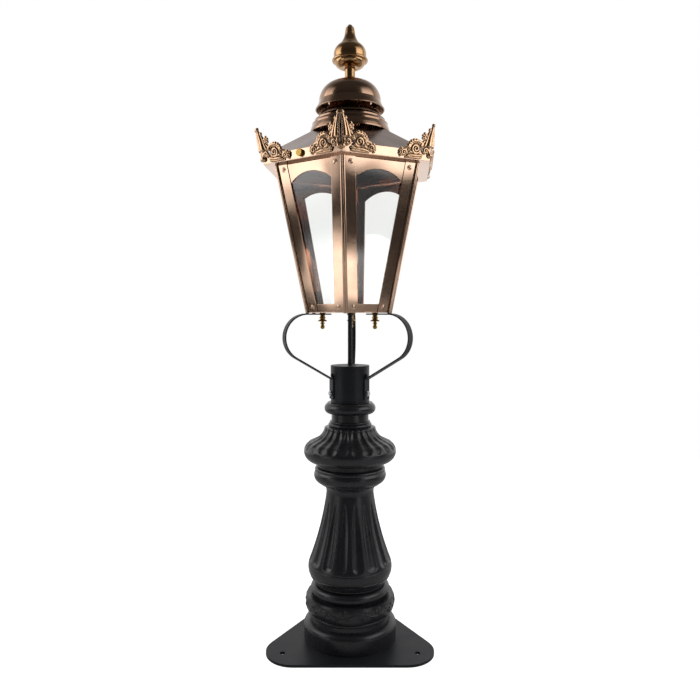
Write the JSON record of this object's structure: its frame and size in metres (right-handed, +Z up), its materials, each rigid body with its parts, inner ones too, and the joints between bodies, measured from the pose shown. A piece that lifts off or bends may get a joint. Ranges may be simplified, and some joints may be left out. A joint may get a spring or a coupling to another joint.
{
  "type": "post lantern",
  "caption": "Glazed copper lantern with hinged vented roof, cast crests and finial, held by flat-bar arms on a short fluted black post with a bolt-down base plate.",
  "frame": {"origin": "centre of the base plate's underside, on the axis of the post", "axes": "+Z up along the post; -Y is the front, where one straight edge of the base plate and one corner of the lantern face; +X to the right seen from the front"},
  "size_m": [0.4108, 0.4472, 1.4023],
  "materials": {
    "black_plate": "satin",
    "black_casting": "satin black enamel",
    "black_steel": "satin powder coat",
    "bright_steel": "bright",
    "brass": "polished yellow brass",
    "copper": "polished and lacquered copper",
    "copper_posts": "polished and lacquered copper",
    "copper_roof": "lacquered copper, spun and folded",
    "copper_cast": "polished cast copper alloy",
    "clear_glass": "clear float glass",
    "lamp_glass": "clear",
    "black_plastic": "matte"
  },
  "bodies": {
    "post": {"base_plate": "black_plate", "post_tube": "black_steel", "base_casting": "black_casting", "shaft_casting": "black_casting", "capital_casting": "black_casting"},
    "head": {"post_sleeve": "black_steel", "sleeve_cap": "black_steel", "strap_right": "black_steel", "strap_back": "black_steel", "strap_left": "black_steel", "foot_bolts": "bright_steel", "set_screws": "black_steel", "conduit_tube": "black_steel", "conduit_nuts": "bright_steel", "floor_studs": "brass", "finial_nuts": "brass", "floor_plate": "copper", "corner_post_1": "copper_posts", "corner_post_2": "copper_posts", "corner_post_3": "copper_posts", "corner_post_4": "copper_posts", "corner_post_5": "copper_posts", "corner_post_6": "copper_posts", "glazing_frame_1": "copper", "glazing_frame_2": "copper", "glazing_frame_3": "copper", "glazing_frame_4": "copper", "glazing_frame_5": "copper", "glazing_frame_6": "copper", "glass_pane_1": "clear_glass", "glass_pane_2": "clear_glass", "glass_pane_3": "clear_glass", "glass_pane_4": "clear_glass", "glass_pane_5": "clear_glass", "glass_pane_6": "clear_glass", "glazing_screws": "copper", "top_frame": "copper_posts", "lamp_holder": "black_plastic", "lamp_bulb": "lamp_glass", "hinge_body_leaf": "brass", "hinge_pin": "bright_steel"},
    "roof": {"roof_panels": "copper_roof", "roof_fascia": "copper", "crest_1": "copper_cast", "crest_2": "copper_cast", "crest_3": "copper_cast", "crest_4": "copper_cast", "crest_5": "copper_cast", "crest_6": "copper_cast", "roof_crossbar": "copper_roof", "vent_collar": "copper_roof", "vent_bridge": "copper_roof", "chimney_skirt": "copper_roof", "spacer_tube": "copper_roof", "vent_dome": "copper_roof", "finial": "copper", "tie_bolt": "bright_steel", "hinge_roof_leaf": "brass", "screw_boss": "brass"},
    "thumb": {"thumb_screw": "brass"}
  },
  "joints": [
    {"name": "head_swivel", "type": "hinge", "parent": "post", "child": "head", "pos_m": [0, 0, 0], "axis": [0, 0, 1], "range_deg": [-180, 180]},
    {"name": "roof_hinge", "type": "hinge", "parent": "head", "child": "roof", "pos_m": [0.10313, 0.14729, 1.0747], "axis": [-0.8192, 0.5736, 0], "range_deg": [0, 100]},
    {"name": "thumb_screw_travel", "type": "slide", "parent": "roof", "child": "thumb", "axis": [-0.5736, -0.8192, 0], "range_m": [0, 0.004]}
  ]
}
